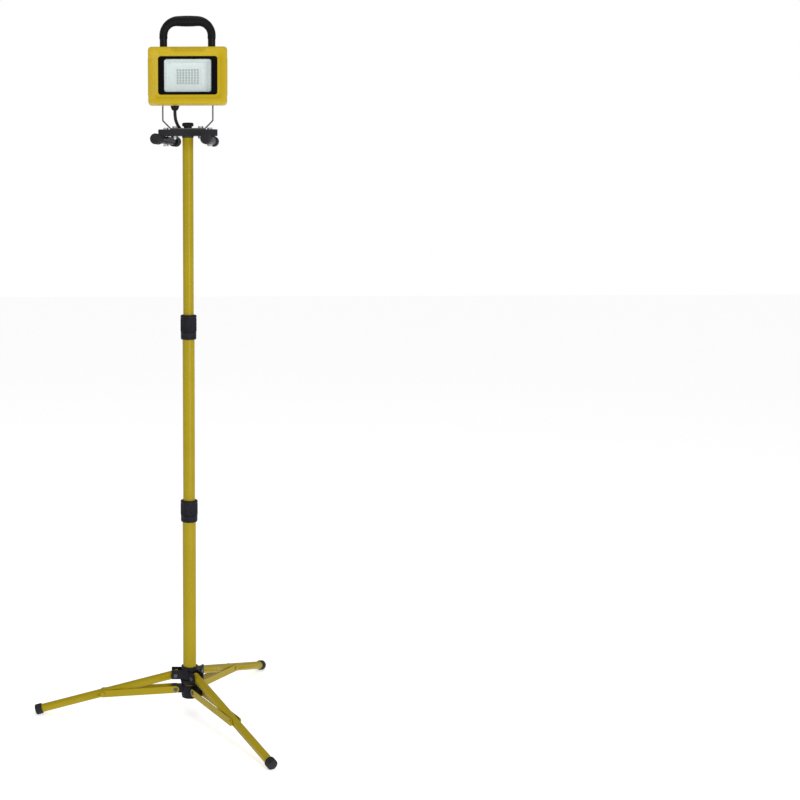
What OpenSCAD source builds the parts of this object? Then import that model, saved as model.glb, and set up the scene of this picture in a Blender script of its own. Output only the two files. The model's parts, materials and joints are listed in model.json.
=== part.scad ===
// LED work light on a telescopic tripod: lamp head in a tilting bracket on a
// small H-shaped stand, clamped on a three-tube mast with a folding tripod base.
// Millimetres, +Z up, the lamp faces -Y, Z = 0 is the floor.

/* [Head] */
// Width of the yellow front frame
head_w = 170; // [168:1:180]
// Height of the yellow front frame
head_h = 121; // [120:1:130]
// Depth of the front frame
frame_depth = 44; // [42:1:46]
// Width of the window in the front frame
window_w = 126; // [124:1:130]
// Height of the window in the front frame
window_h = 80; // [78:1:82]
// Width of the opening in the black glass bezel
lit_w = 100; // [98:1:110]
// Height of the opening in the black glass bezel
lit_h = 68; // [66:1:70]
// Outside width of the carrying handle
handle_w = 120; // [118:1:128]
// Rise of the handle above the front frame
handle_rise = 66; // [64:1:76]

/* [Small stand] */
// Height of the crossbar's underside above the floor, mast fully out
crossbar_z = 1322; // [1316:1:1330]
// Length of the crossbar over its end caps
crossbar_l = 129; // [126:1:136]
// Distance between the two foot tubes' bolts
foot_spacing = 96; // [94:1:100]
// Length of a foot tube over its caps
foot_l = 156; // [150:1:160]
// Outer diameter of a foot tube
foot_d = 17; // [16:0.5:18]
// How far the left foot stands askew
left_skew = 17; // [0:1:22]
// How far the right foot stands askew
right_skew = 8; // [0:1:20]

/* [Mast] */
// Outer diameter of the top tube
top_d = 23.6; // [23:0.1:24]
// Outer diameter of the middle tube
middle_d = 27; // [26.6:0.1:27.2]
// Outer diameter of the bottom tube
bottom_d = 30.4; // [30:0.1:30.8]
// Height of the upper twist lock's lower edge
upper_lock_z = 876; // [870:1:880]
// Height of the lower twist lock's lower edge
lower_lock_z = 460; // [450:1:465]

/* [Tripod] */
// Direction of the left leg, seen from above
first_leg_angle = 179; // [170:1:182]
// Height of the leg pivots
leg_pivot_z = 98; // [97:1:99]
// Height of the brace pivots on the mast
brace_pivot_z = 64; // [63:1:65]
// Distance of both rings of pivots from the mast's axis
pivot_r = 32.5; // [32:0.5:33]
// Length of a leg from its pivot to the end of its cap
leg_l = 338; // [330:1:345]
// Distance of the brace bolt along the leg
brace_bolt_at = 175; // [165:1:185]
// Outer diameter of a leg tube
leg_d = 19; // [18:0.5:19]

/* [Cord] */
// Diameter of the supply cord
cord_d = 7; // [6:0.5:7]
// Radius of the coil at the middle of its turns
coil_r = 41; // [38:1:42]

/* [Hidden] */
$fn = 48;

YELLOW = [0.84, 0.71, 0.16];
TUBE_YELLOW = [0.72, 0.65, 0.06];
BLACK = [0.09, 0.09, 0.10];
STEEL = [0.72, 0.73, 0.75];
WHITE = [0.90, 0.93, 0.92];

// Mast axis, set so that the tripod's footprint is centred on the origin
mast_x = 83;
mast_y = 3;

fit = 0.05;      // gap between pieces fixed together
running = 0.08;  // radial gap of a running fit
clear = 0.3;     // gap between pieces that move past each other

// Head, front to back
pivot_z = crossbar_z + 124;
head_top = pivot_z + head_h / 2;
frame_y1 = -22;
frame_y0 = frame_y1 - frame_depth;
frame_wall = 5;
frame_lip = 6;
glass_w = window_w + 10;
glass_h = window_h + 10;
bezel_y = frame_y0 + frame_lip + 0.1;
glass_y = bezel_y + 1.9;
gasket_y = glass_y + 4.1;
tray_y = gasket_y + 1.9;
tray_w = 139;
tray_h = 95;
tray_wall = 6;
tray_floor_y = -26;
flange_t = 3;
box_w = 100;
box_h = 96;
box_y1 = 10;
box_wall = 4;
fin_y1 = 18;
fin_count = 11;
post_x = head_w / 2 - 10;
post_z = head_h / 2 - 10;
post_r = 5;
plate_y = tray_floor_y - 2;
board_y = plate_y - 1.6;
chip_y = board_y - 0.9;
chip_cols = 8;
chip_rows = 6;

// Handle
handle_y = -36;
handle_r = 8;
handle_corner = 30;
handle_x = handle_w / 2 - 8.5;
sleeve_r = 8.9;
grip_r = 11.3;
handle_top = head_top + handle_rise - grip_r;
corner_z = handle_top - handle_corner;
corner_x = handle_x - handle_corner;
sleeve_end = corner_z - 7;

// Cable gland, under the driver box
gland_x = -28;
gland_y = 0;
gland_top = pivot_z - box_h / 2;
gland_hex_h = 7;
gland_end = gland_top - 21;

// Bracket
arm_x = 54.5;
arm_t = 3;
arm_w = 19;
arm_bend_z = crossbar_z + 33;
base_half = 37;
bracket_bolt_x = 28;
tilt_r = 4;
crossbar_h = 14;
crossbar_w = 28;
crossbar_wall = 1.5;
crossbar_top = crossbar_z + crossbar_h;
base_top = crossbar_top + arm_t;

// Foot tubes and their bolts
foot_x = foot_spacing / 2;
foot_z = crossbar_z - clear - foot_d / 2;
foot_wall = 1.2;
foot_cap_r = 11.5;
foot_cap_l = 26;
bolt_r = 3;
stud_r = 4;
knob_stem_r = 9;
knob_cap_r = 12.5;

// Mast
wall = 1;
top_r = top_d / 2;
middle_r = middle_d / 2;
bottom_r = bottom_d / 2;
plug_top = crossbar_z - 1.6;
mast_top = plug_top - 2.4;
top_end = 800;
middle_end = 388;
bottom_end = 48;
upper_lock_h = 55;
lower_lock_h = 50;
upper_lock_r = 18;
lower_lock_r = 19.5;

// Tripod
ear_in = leg_d / 2 + clear;
ear_t = 3.5;
ear_reach = 42;
hub_r = 19.2;
hub_top = 118;
hub_low = leg_pivot_z - 10;
foot_cap_radius = 12;
leg_cap_l = 16;
foot_cut = 1.5;
pin_r = 3;
strip_in = leg_d / 2 + clear;
strip_t = 1.8;
strip_h = 16;
leg_wall = 1.2;
leg_end_z = foot_cap_radius * 0.966 - foot_cut;
leg_slope = asin((leg_pivot_z - leg_end_z) / leg_l);
bolt_out = brace_bolt_at * cos(leg_slope);
bolt_down = leg_pivot_z - brace_bolt_at * sin(leg_slope) - brace_pivot_z;
brace_l = norm([bolt_out, bolt_down]);
brace_slope = atan2(bolt_down, bolt_out);

// Coil of cord, seen edge-on behind the mast
coil_half_w = cord_d;
coil_half_h = 1.5 * cord_d;
coil_y = 73;
coil_z = 1245;

// Route of the cord from the gland, behind the crossbar, to the coil
LEAD = [
    [-28, 0, 1376.7], [-28, 0, 1371], [-27.5, 0.5, 1364], [-26.5, 3, 1357], [-24, 6.5, 1350],
    [-21, 11, 1344], [-17.5, 15.5, 1339.5], [-14, 20, 1334], [-11, 23.5, 1327],
    [-8, 25, 1317], [-5.5, 25, 1305], [-4, 25, 1292], [-3.5, 25, 1280], [-3.5, 25, 1262]
];
// Route of the cord from the coil to the plug
TAIL = [
    [3.5, 39, 1211], [3.2, 44, 1204], [2.4, 47.2, 1196], [1.2, 48, 1188], [0.4, 48, 1181],
    [0, 48, 1175]
];
plug_y = 48;
plug_z = 1175;

// ---------- helpers ----------

module at_mast() {
    translate([mast_x, mast_y, 0])
        children();
}

module rounded_rect(w, h, r) {
    square([w - 2 * r, h], center = true);
    square([w, h - 2 * r], center = true);
    for (x = [-1, 1], y = [-1, 1])
        translate([x * (w / 2 - r), y * (h / 2 - r)])
            circle(r);
}

// Slab of the head, upright, from y0 to y1, centred on the tilt axis
module slab(w, h, r, y0, y1) {
    translate([0, y1, pivot_z])
        rotate([90, 0, 0])
            linear_extrude(y1 - y0)
                rounded_rect(w, h, r);
}

// Cylinder along +Y from y0 to y1
module rod_y(r, y0, y1) {
    translate([0, y0, 0])
        rotate([-90, 0, 0])
            cylinder(h = y1 - y0, r = r);
}

// Cylinder along +X from x0 to x1
module rod_x(r, x0, x1, sides = 48) {
    translate([x0, 0, 0])
        rotate([0, 90, 0])
            cylinder(h = x1 - x0, r = r, $fn = sides);
}

module ring(r_in, r_out, z0, z1) {
    translate([0, 0, z0])
        difference() {
            cylinder(h = z1 - z0, r = r_out);
            translate([0, 0, -1])
                cylinder(h = z1 - z0 + 2, r = r_in);
        }
}

module mirrored_x() {
    children();
    mirror([1, 0, 0])
        children();
}

// Grip flutes cut round a collar
module flutes(count, at_r, r, z0, z1) {
    for (i = [0 : count - 1])
        rotate([0, 0, i * 360 / count])
            translate([at_r, 0, z0])
                cylinder(h = z1 - z0, r = r, $fn = 24);
}

// ---------- lamp head ----------

module front_frame() color(YELLOW) at_mast() {
    difference() {
        slab(head_w, head_h, 8, frame_y0, frame_y1);
        slab(head_w - 2 * frame_wall, head_h - 2 * frame_wall, 5, frame_y0 + frame_lip, frame_y1 + 1);
        slab(window_w, window_h, 6, frame_y0 - 1, frame_y0 + frame_lip + 1);
        for (x = [-1, 1])
            translate([x * handle_x, handle_y, head_top - frame_wall - 1])
                cylinder(h = frame_wall + 2, r = 3.3);
    }
    for (x = [-1, 1], z = [-1, 1])
        translate([x * post_x, 0, pivot_z + z * post_z])
            difference() {
                rod_y(post_r, frame_y0 + frame_lip - 0.5, frame_y1);
                rod_y(1.95, frame_y1 - 22, frame_y1 + 1);
            }
}

module glass_bezel() color(BLACK) at_mast()
    difference() {
        slab(glass_w, glass_h, 4, bezel_y, bezel_y + 1.8);
        slab(lit_w, lit_h, 5, bezel_y - 1, bezel_y + 3);
    }

module lens_glass() color([0.85, 0.92, 0.92, 0.35]) at_mast()
    slab(glass_w, glass_h, 4, glass_y, glass_y + 4);

module lens_gasket() color(BLACK) at_mast()
    difference() {
        slab(tray_w, tray_h, 4, gasket_y, gasket_y + 1.8);
        slab(tray_w - 2 * tray_wall, tray_h - 2 * tray_wall, 4, gasket_y - 1, gasket_y + 3);
    }

module pan(w, h, y0, y1, taper) {
    hull() {
        slab(w, h, 5, y0, y0 + 0.2, $fn = 24);
        slab(w - taper, h - taper, 5, y1 - 0.2, y1, $fn = 24);
    }
}

module reflector() color(WHITE) at_mast() {
    rim_y = gasket_y + 0.4;
    difference() {
        slab(tray_w - 2 * tray_wall - 1, tray_h - 2 * tray_wall - 1, 4, rim_y, rim_y + 1.2);
        slab(lit_w + 1, lit_h + 1, 5, rim_y - 1, rim_y + 2);
    }
    difference() {
        pan(lit_w + 3, lit_h + 3, rim_y, chip_y - 0.1, 12);
        pan(lit_w + 0.6, lit_h + 0.6, rim_y - 0.5, chip_y - 1.3, 12);
        slab(56, 42, 3, chip_y - 3, chip_y + 1);
    }
}

module led_board() color(WHITE) at_mast()
    slab(70, 56, 2, board_y, plate_y - fit);

module led_chips() color([0.85, 0.84, 0.55]) at_mast()
    for (i = [0 : chip_cols - 1], j = [0 : chip_rows - 1])
        translate([(i - (chip_cols - 1) / 2) * 6.2, board_y, pivot_z + (j - (chip_rows - 1) / 2) * 5.5])
            translate([-2.1, -0.9, -2.1])
                cube([4.2, 0.9 - fit, 4.2]);

module led_plate() color(STEEL) at_mast()
    slab(tray_w - 2 * tray_wall - 1, tray_h - 2 * tray_wall - 1, 3, plate_y, tray_floor_y - fit);

module led_driver() color([0.80, 0.80, 0.78]) at_mast()
    slab(78, 46, 3, -15, 3);

module terminal_block() color(WHITE) at_mast()
    translate([gland_x - 12, -14, pivot_z - 41])
        cube([26, 13, 10]);

module heatsink_housing() color(BLACK) at_mast() {
    difference() {
        union() {
            slab(tray_w, tray_h, 5, tray_y, frame_y1);
            slab(head_w - 4, head_h - 4, 6, frame_y1 + fit, frame_y1 + flange_t);
            slab(box_w, box_h, 5, tray_floor_y, box_y1);
            for (i = [0 : fin_count - 1])
                translate([(i - (fin_count - 1) / 2) * 9.4 - 1.5, box_y1 - 1, pivot_z - 46])
                    cube([3, fin_y1 - box_y1 + 1, 92]);
            translate([0, 0, pivot_z])
                rod_x(10, -arm_x + arm_t / 2 + 0.4, arm_x - arm_t / 2 - 0.4);
        }
        slab(tray_w - 2 * tray_wall, tray_h - 2 * tray_wall, 4, tray_y - 1, tray_floor_y);
        slab(box_w - 2 * box_wall, box_h - 2 * box_wall - 4, 3, tray_floor_y - 1, box_y1 - box_wall);
        translate([0, 0, pivot_z])
            rod_x(tilt_r, -arm_x, arm_x);
        translate([gland_x, gland_y, gland_top - 1])
            cylinder(h = 12, r = 6);
        for (x = [-1, 1], z = [-1, 1])
            translate([x * post_x, 0, pivot_z + z * post_z])
                rod_y(2.2, frame_y1 - 1, frame_y1 + flange_t + 1);
    }
}

module housing_screws() color(STEEL) at_mast()
    for (x = [-1, 1], z = [-1, 1])
        translate([x * post_x, 0, pivot_z + z * post_z]) {
            rod_y(1.9, frame_y1 - 18, frame_y1 + flange_t + 0.1);
            rod_y(3.6, frame_y1 + flange_t + 0.05, frame_y1 + flange_t + 2.6);
        }

module handle_path(r) {
    mirrored_x() {
        translate([handle_x, handle_y, head_top + fit])
            cylinder(h = corner_z - head_top - fit, r = r);
        translate([corner_x, handle_y, corner_z])
            rotate([90, 0, 0])
                rotate_extrude(angle = 90)
                    translate([handle_corner, 0])
                        circle(r);
    }
    translate([0, handle_y, handle_top])
        rod_x(r, -corner_x, corner_x);
}

module handle_tube() color(BLACK) at_mast()
    difference() {
        handle_path(handle_r);
        for (x = [-1, 1])
            translate([x * handle_x, handle_y, head_top - 1])
                cylinder(h = 16, r = bolt_r);
    }

// Soft grip sleeve, thicker in the middle of the bar
module handle_grip() color(BLACK) at_mast() {
    swell = [for (i = [-8 : 8]) [sleeve_r + (grip_r - sleeve_r) * pow(cos(i * 90 / 8), 2), i * corner_x / 8]];
    difference() {
        union() {
            mirrored_x() {
                translate([handle_x, handle_y, sleeve_end])
                    cylinder(h = corner_z - sleeve_end, r = sleeve_r);
                translate([corner_x, handle_y, corner_z])
                    rotate([90, 0, 0])
                        rotate_extrude(angle = 90)
                            translate([handle_corner, 0])
                                circle(sleeve_r);
            }
            translate([0, handle_y, handle_top])
                rotate([0, 90, 0])
                    rotate_extrude()
                        polygon(concat([[0, -corner_x]], swell, [[0, corner_x]]));
        }
        handle_path(handle_r + fit);
    }
}

module handle_bolts() color(STEEL) at_mast()
    for (x = [-1, 1])
        translate([x * handle_x, handle_y, 0]) {
            translate([0, 0, head_top - frame_wall])
                cylinder(h = frame_wall + 14, r = bolt_r - fit);
            translate([0, 0, head_top - frame_wall - 4])
                cylinder(h = 4 - fit, r = 5.8, $fn = 6);
        }

module gland_body() color(BLACK) at_mast()
    translate([gland_x, gland_y, 0])
        difference() {
            union() {
                translate([0, 0, gland_top - gland_hex_h])
                    cylinder(h = gland_hex_h - fit, r = 10.2, $fn = 6);
                translate([0, 0, gland_top - 1])
                    cylinder(h = 8, r = 6 - fit);
            }
            translate([0, 0, gland_top - gland_hex_h - 1])
                cylinder(h = 20, r = cord_d / 2 + 0.2);
        }

// Domed, fluted nut that grips the cord
module gland_cap() color(BLACK) at_mast()
    translate([gland_x, gland_y, 0])
        difference() {
            rotate_extrude()
                polygon([
                    [cord_d / 2 + 0.2, gland_end], [5.6, gland_end], [9.2, gland_end + 9],
                    [9.6, gland_end + 11], [9.6, gland_top - gland_hex_h - fit],
                    [cord_d / 2 + 0.2, gland_top - gland_hex_h - fit]
                ]);
            flutes(10, 10.3, 1.4, gland_end + 10, gland_top - gland_hex_h);
        }

module tilt_bolts() color(STEEL) at_mast()
    mirrored_x()
        translate([0, 0, pivot_z]) {
            rod_x(tilt_r - fit, 46.5, arm_x + 4);
            rod_x(8.2, arm_x + arm_t / 2 + 0.1, arm_x + arm_t / 2 + 1.6);
            rod_x(7.2, arm_x + arm_t / 2 + 1.5, arm_x + arm_t / 2 + 6.5, 6);
        }

// ---------- bracket and small stand ----------

module bracket_profile() {
    mitre = arm_t / 2 * tan(22.5);
    polygon([
        [0, crossbar_top], [base_half + mitre, crossbar_top],
        [arm_x + arm_t / 2, arm_bend_z - mitre], [arm_x + arm_t / 2, pivot_z],
        [arm_x - arm_t / 2, pivot_z], [arm_x - arm_t / 2, arm_bend_z + mitre],
        [base_half - mitre, base_top], [0, base_top]
    ]);
}

module u_bracket() color([0.28, 0.28, 0.29]) at_mast()
    difference() {
        mirrored_x() {
            translate([0, arm_w / 2, 0])
                rotate([90, 0, 0])
                    linear_extrude(arm_w)
                        bracket_profile();
            translate([0, 0, pivot_z])
                rod_x(arm_w / 2, arm_x - arm_t / 2, arm_x + arm_t / 2);
        }
        translate([0, 0, pivot_z])
            rod_x(tilt_r + running - fit, -arm_x - arm_t, arm_x + arm_t);
        translate([0, 0, crossbar_z])
            cylinder(h = 20, r = stud_r + 0.4);
        for (x = [-1, 1])
            translate([x * bracket_bolt_x, 0, crossbar_z])
                cylinder(h = 20, r = bolt_r + fit);
    }

module crossbar() color(BLACK) at_mast() {
    tube_l = crossbar_l - 3;
    translate([0, 0, crossbar_z])
        difference() {
            translate([-tube_l / 2, -crossbar_w / 2, 0])
                cube([tube_l, crossbar_w, crossbar_h - fit]);
            translate([-tube_l / 2 - 1, -crossbar_w / 2 + crossbar_wall, crossbar_wall])
                cube([tube_l + 2, crossbar_w - 2 * crossbar_wall, crossbar_h - 2 * crossbar_wall]);
            translate([0, 0, -1])
                cylinder(h = 20, r = stud_r + 0.4);
            for (x = [-bracket_bolt_x, bracket_bolt_x, -foot_x, foot_x])
                translate([x, 0, -1])
                    cylinder(h = 20, r = bolt_r + fit);
        }
}

module crossbar_caps() color(BLACK) at_mast()
    mirrored_x()
        translate([0, 0, crossbar_z]) {
            translate([crossbar_l / 2 - 1.5 + fit, -crossbar_w / 2, 0])
                cube([1.5 - fit, crossbar_w, crossbar_h - fit]);
            translate([crossbar_l / 2 - 9, -crossbar_w / 2 + crossbar_wall + fit, crossbar_wall + fit])
                cube([8, crossbar_w - 2 * crossbar_wall - 2 * fit, crossbar_h - 2 * crossbar_wall - 3 * fit]);
        }

// Bolts that hold the bracket to the crossbar, each with its nut
module bracket_bolts() color(STEEL) at_mast()
    for (x = [-1, 1])
        translate([x * bracket_bolt_x, 0, 0]) {
            translate([0, 0, base_top + fit])
                cylinder(h = 4, r = 5.8, $fn = 6);
            translate([0, 0, crossbar_z - 7])
                cylinder(h = base_top - crossbar_z + 8, r = bolt_r);
            translate([0, 0, crossbar_z - 5])
                difference() {
                    cylinder(h = 5 - fit, r = 5.8, $fn = 6);
                    translate([0, 0, -1])
                        cylinder(h = 7, r = bolt_r + fit);
                }
        }

// Hinge bolts of the two foot tubes
module foot_bolts() color(STEEL) at_mast()
    for (x = [-1, 1])
        translate([x * foot_x, 0, 0]) {
            translate([0, 0, crossbar_top])
                cylinder(h = 4, r = 5.8, $fn = 6);
            translate([0, 0, foot_z - foot_d / 2 - 5.5])
                cylinder(h = crossbar_top - foot_z + foot_d / 2 + 6, r = bolt_r);
            translate([0, 0, foot_z - foot_d / 2 - clear - 4])
                cylinder(h = 4, r = 5.8, $fn = 6);
        }

module foot_at(side, skew) {
    translate([side * foot_x, 0, foot_z])
        rotate([0, 0, -skew])
            children();
}

module foot_tube() {
    tube_half = foot_l / 2 - 4;
    difference() {
        rod_y(foot_d / 2, -tube_half, tube_half);
        rod_y(foot_d / 2 - foot_wall, -tube_half - 1, tube_half + 1);
        translate([0, 0, -foot_d])
            cylinder(h = 2 * foot_d, r = bolt_r + running);
    }
}

// Ribbed caps on both ends of a foot tube
module foot_caps() {
    for (turn = [0, 180])
        rotate([0, 0, turn])
            difference() {
                rod_y(foot_cap_r, foot_l / 2 - foot_cap_l, foot_l / 2);
                rod_y(foot_d / 2 + fit, foot_l / 2 - foot_cap_l - 1, foot_l / 2 - 4 + fit);
                rotate([-90, 0, 0])
                    flutes(12, foot_cap_r + 0.8, 1.6, foot_l / 2 - foot_cap_l + 3, foot_l / 2 - 5);
            }
}

module foot_left_tube() color(BLACK) at_mast() foot_at(-1, left_skew) foot_tube();
module foot_left_caps() color(BLACK) at_mast() foot_at(-1, left_skew) foot_caps();
module foot_right_tube() color(BLACK) at_mast() foot_at(1, right_skew) foot_tube();
module foot_right_caps() color(BLACK) at_mast() foot_at(1, right_skew) foot_caps();

// Knob with its moulded-in stud, screwed into the top of the mast
module clamp_knob() color(BLACK) at_mast() {
    difference() {
        union() {
            translate([0, 0, base_top + clear])
                cylinder(h = 5, r = knob_stem_r);
            translate([0, 0, base_top + 4])
                cylinder(h = 5.5, r = knob_cap_r);
            translate([0, 0, base_top + 9.4])
                cylinder(h = 2.2, r1 = knob_cap_r, r2 = knob_cap_r - 2.5);
        }
        flutes(12, knob_cap_r + 0.6, 1.5, base_top + 3, base_top + 12);
    }
    translate([0, 0, plug_top - 24])
        cylinder(h = base_top - plug_top + 24.8, r = stud_r);
}

module swivel_washer() color([0.2, 0.2, 0.2]) at_mast()
    ring(stud_r + 0.4, 13, plug_top + 0.1, crossbar_z - 0.1);

// ---------- telescopic mast ----------

module top_tube() color(TUBE_YELLOW) at_mast()
    ring(top_r - wall, top_r, top_end, mast_top);

module top_plug() color(BLACK) at_mast()
    difference() {
        union() {
            translate([0, 0, mast_top + fit])
                cylinder(h = plug_top - mast_top - fit, r = top_r + 0.6);
            translate([0, 0, mast_top - 26])
                cylinder(h = 27, r = top_r - wall - fit);
        }
        translate([0, 0, mast_top - 30])
            cylinder(h = 40, r = stud_r + running);
    }

module top_bush() color(BLACK) at_mast()
    ring(top_r + 0.01, middle_r - wall - running, top_end + 1, top_end + 21);

module middle_tube() color(TUBE_YELLOW) at_mast()
    ring(middle_r - wall, middle_r, middle_end, upper_lock_z + 27);

module middle_bush() color(BLACK) at_mast()
    ring(middle_r + 0.01, bottom_r - wall - running, middle_end + 1, middle_end + 21);

// Fixed half of a twist lock: a sleeve on the tube with a threaded neck
module lock_base(tube_r, r, z, h) {
    ring(tube_r + fit, r - 0.6, z, z + 0.3 * h);
    ring(tube_r + fit, r - 2.4, z, z + 0.5 * h);
}

// Split ring that grips the inner tube
module lock_collet(inner_r, r, z, h) {
    difference() {
        ring(inner_r + running, r - 2.4, z + 0.5 * h + 1, z + 0.78 * h);
        translate([0, -1, z])
            cube([r, 2, h]);
    }
}

// Turning half of a twist lock
module lock_nut(inner_r, r, z, h) {
    low = z + 0.3 * h + clear;
    difference() {
        translate([0, 0, low])
            cylinder(h = z + h - low, r = r);
        translate([0, 0, low - 1])
            cylinder(h = z + 0.8 * h - low + 1, r = r - 2);
        translate([0, 0, low - 1])
            cylinder(h = h, r = inner_r + clear);
        flutes(18, r + 0.9, 1.5, low + 3, z + h - 3);
    }
}

module upper_lock_base() color(BLACK) at_mast()
    lock_base(middle_r, upper_lock_r, upper_lock_z, upper_lock_h);
module upper_collet() color(WHITE) at_mast()
    lock_collet(top_r, upper_lock_r, upper_lock_z, upper_lock_h);
module upper_lock_nut() color(BLACK) at_mast()
    lock_nut(top_r, upper_lock_r, upper_lock_z, upper_lock_h);

module bottom_tube() color(TUBE_YELLOW) at_mast()
    ring(bottom_r - wall, bottom_r, bottom_end, lower_lock_z + 24);

module lower_lock_base() color(BLACK) at_mast()
    lock_base(bottom_r, lower_lock_r, lower_lock_z, lower_lock_h);
module lower_collet() color(WHITE) at_mast()
    lock_collet(middle_r, lower_lock_r, lower_lock_z, lower_lock_h);
module lower_lock_nut() color(BLACK) at_mast()
    lock_nut(middle_r, lower_lock_r, lower_lock_z, lower_lock_h);

// ---------- tripod base ----------

function leg_angle(i) = first_leg_angle + 120 * (i - 1);

// Turns a shape drawn in the X-Z plane to a leg's direction
module toward(i) {
    rotate([0, 0, leg_angle(i)])
        children();
}

module all_legs() {
    for (i = [1 : 3])
        toward(i)
            children();
}

module pins(z, half, head_r) {
    all_legs()
        translate([pivot_r, 0, z]) {
            rod_y(pin_r, -half, half);
            rod_y(head_r, half - 0.01, half + 1.8);
            rod_y(head_r, -half - 1.8, -half + 0.01);
        }
}

module brace_hub() color(BLACK) at_mast()
    difference() {
        union() {
            translate([0, 0, bottom_end])
                cylinder(h = 26, r = hub_r);
            all_legs()
                translate([10, -leg_d / 2, brace_pivot_z - 8])
                    cube([ear_reach - 10, leg_d, 16]);
        }
        translate([0, 0, bottom_end - 1])
            cylinder(h = 40, r = bottom_r + fit);
        all_legs()
            translate([pivot_r, 0, brace_pivot_z])
                rod_y(pin_r + fit, -20, 20);
    }

module brace_hub_pins() color(STEEL) at_mast()
    pins(brace_pivot_z, strip_in + strip_t + clear, 4.6);

module mast_end_cap() color(BLACK) at_mast() {
    translate([0, 0, bottom_end - 4])
        cylinder(h = 4 - fit, r = hub_r - 1);
    translate([0, 0, bottom_end - 1])
        cylinder(h = 12, r = bottom_r - wall - fit);
}

// Slider that carries the leg pivots between pairs of ears
module leg_hub() color(BLACK) at_mast()
    difference() {
        union() {
            translate([0, 0, hub_low])
                cylinder(h = hub_top - hub_low, r = hub_r);
            translate([0, 0, hub_low - 8])
                cylinder(h = 9, r = hub_r - 2);
            all_legs()
                for (s = [-1, 1])
                    translate([13, s * (ear_in + ear_t / 2) - ear_t / 2, hub_low + 1.5])
                        cube([ear_reach - 13, ear_t, 21]);
        }
        translate([0, 0, hub_low - 20])
            cylinder(h = 60, r = bottom_r + running);
        all_legs()
            translate([pivot_r, 0, leg_pivot_z])
                rod_y(pin_r + fit, -20, 20);
    }

module leg_hub_pins() color(STEEL) at_mast()
    pins(leg_pivot_z, ear_in + ear_t + fit, 4.6);

// Fluted nut that locks the slider on the mast
module hub_lock_nut() color(BLACK) at_mast()
    difference() {
        translate([0, 0, hub_low - 11.5])
            cylinder(h = 11.2, r1 = hub_r + 1, r2 = hub_r + 3.2);
        translate([0, 0, hub_low - 9.5])
            cylinder(h = 12, r = hub_r - 1.6);
        translate([0, 0, hub_low - 20])
            cylinder(h = 30, r = bottom_r + clear);
        flutes(18, hub_r + 4, 1.5, hub_low - 12, hub_low + 1);
    }

// Carries a leg's own axis, +X along the tube, to its place
module on_leg(i) {
    at_mast()
        toward(i)
            translate([pivot_r, 0, leg_pivot_z])
                rotate([0, leg_slope, 0])
                    children();
}

module leg(i) color(TUBE_YELLOW)
    on_leg(i)
        difference() {
            rod_x(leg_d / 2, -7, leg_l - 4);
            rod_x(leg_d / 2 - leg_wall, -8, leg_l);
            for (x = [0, brace_bolt_at])
                translate([x, 0, 0])
                    rod_y(pin_r + running, -20, 20);
        }

// Rubber cap, worn flat where it stands on the floor
module leg_cap(i) color(BLACK)
    intersection() {
        on_leg(i)
            difference() {
                rod_x(foot_cap_radius, leg_l - leg_cap_l, leg_l);
                rod_x(leg_d / 2 + fit, leg_l - leg_cap_l - 1, leg_l - 4 + fit);
            }
        translate([-500, -500, 0])
            cube([1000, 1000, 100]);
    }

// A pair of flat strips, one on each side of the leg, with the ends of its bolt
module brace(i) color(TUBE_YELLOW)
    at_mast()
        toward(i)
            translate([pivot_r, 0, brace_pivot_z])
                rotate([0, -brace_slope, 0])
                    for (s = [0, 1])
                        mirror([0, s, 0])
                            brace_side();

module brace_side() {
    difference() {
        union() {
            for (x = [0, brace_l])
                translate([x, 0, 0])
                    rod_y(strip_h / 2, strip_in, strip_in + strip_t);
            translate([0, strip_in, -strip_h / 2])
                cube([brace_l, strip_t, strip_h]);
        }
        for (x = [0, brace_l])
            translate([x, 0, 0])
                rod_y(pin_r + running, 0, 20);
    }
    translate([brace_l, 0, 0]) {
        rod_y(pin_r, strip_in + 0.1, strip_in + strip_t + 1);
        rod_y(5, strip_in + strip_t + fit, strip_in + strip_t + 3);
    }
}

module leg_1() leg(1);
module leg_2() leg(2);
module leg_3() leg(3);
module leg_cap_1() leg_cap(1);
module leg_cap_2() leg_cap(2);
module leg_cap_3() leg_cap(3);
module brace_1() brace(1);
module brace_2() brace(2);
module brace_3() brace(3);

// ---------- supply cord ----------

CORD_SIDES = 10;

function spline(a, b, c, d, t) =
    0.5 * (2 * b + (c - a) * t + (2 * a - 5 * b + 4 * c - d) * t * t
        + (3 * b - a - 3 * c + d) * t * t * t);

function smooth(p, steps) = [
    for (i = [0 : len(p) - 2], k = [0 : steps - 1])
        spline(p[max(i - 1, 0)], p[i], p[i + 1], p[min(i + 2, len(p) - 1)], k / steps),
    p[len(p) - 1]
];

function unit(v) = v / norm(v);

function direction(p, i) = unit(p[min(i + 1, len(p) - 1)] - p[max(i - 1, 0)]);

// A tube of radius r along the points p, none of which may run along X
module swept_tube(p, r) {
    n = len(p);
    rings = [
        for (i = [0 : n - 1])
            let (along = direction(p, i), u = unit(cross(along, [1, 0, 0])), v = cross(along, u))
                for (k = [0 : CORD_SIDES - 1])
                    let (a = k * 360 / CORD_SIDES)
                        p[i] + r * (u * cos(a) + v * sin(a))
    ];
    walls = [
        for (i = [0 : n - 2], k = [0 : CORD_SIDES - 1])
            let (a = i * CORD_SIDES + k, b = i * CORD_SIDES + (k + 1) % CORD_SIDES)
                [a, b, b + CORD_SIDES, a + CORD_SIDES]
    ];
    first = [for (k = [CORD_SIDES - 1 : -1 : 0]) k];
    last = [for (k = [0 : CORD_SIDES - 1]) (n - 1) * CORD_SIDES + k];
    polyhedron(points = rings, faces = concat([first], walls, [last]), convexity = 4);
}

module cord_runs() color(BLACK) at_mast() {
    swept_tube(smooth(LEAD, 2), cord_d / 2);
    swept_tube(smooth(TAIL, 2), cord_d / 2);
}

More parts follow.
